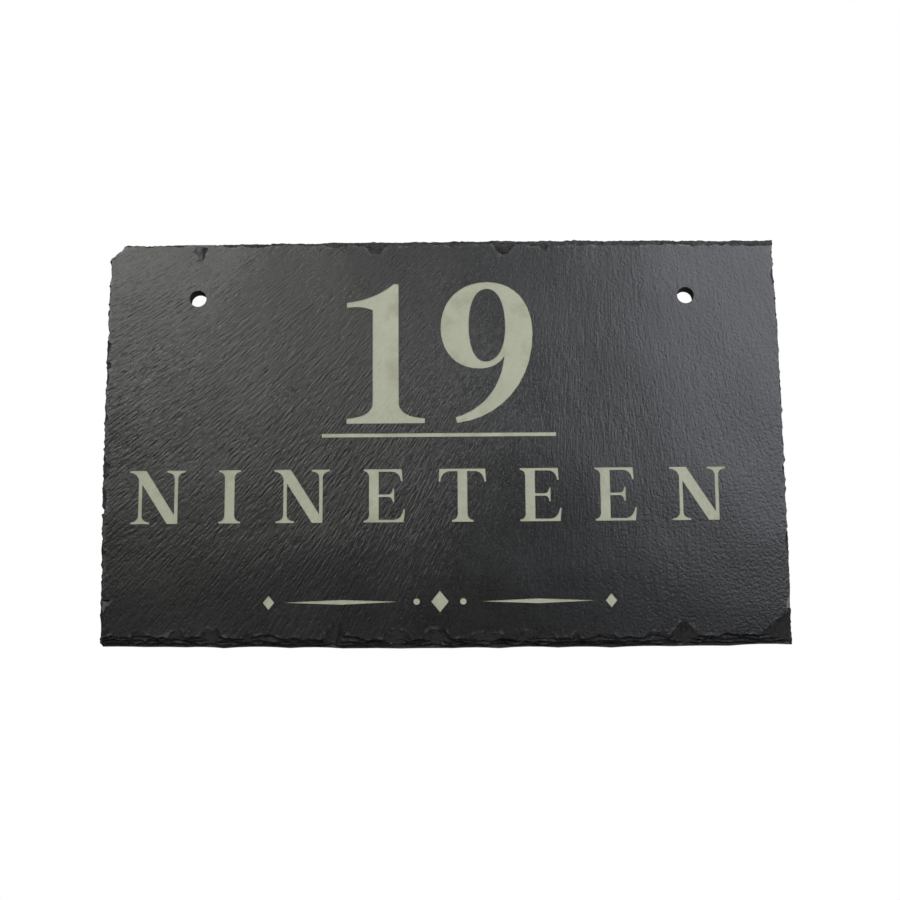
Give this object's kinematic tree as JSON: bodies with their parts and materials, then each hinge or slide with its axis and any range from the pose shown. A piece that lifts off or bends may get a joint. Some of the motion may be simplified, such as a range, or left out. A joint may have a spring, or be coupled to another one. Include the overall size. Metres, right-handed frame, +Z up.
{
  "type": "house number plaque",
  "caption": "Flat riven slate house sign with knapped, layered edges and drilled screw holes near its top corners, fixed upright on a wall or beside a door.",
  "frame": {"origin": "middle of the flat back, on the wall plane", "axes": "+X to the right of a person reading the plaque, +Y from the front face into the wall, +Z up"},
  "size_m": [0.2544, 0.0065, 0.1558],
  "materials": {
    "slate": "riven natural slate, satin, with lighter cut lettering"
  },
  "bodies": {
    "root": {"slate_plaque": "slate"}
  },
  "joints": []
}
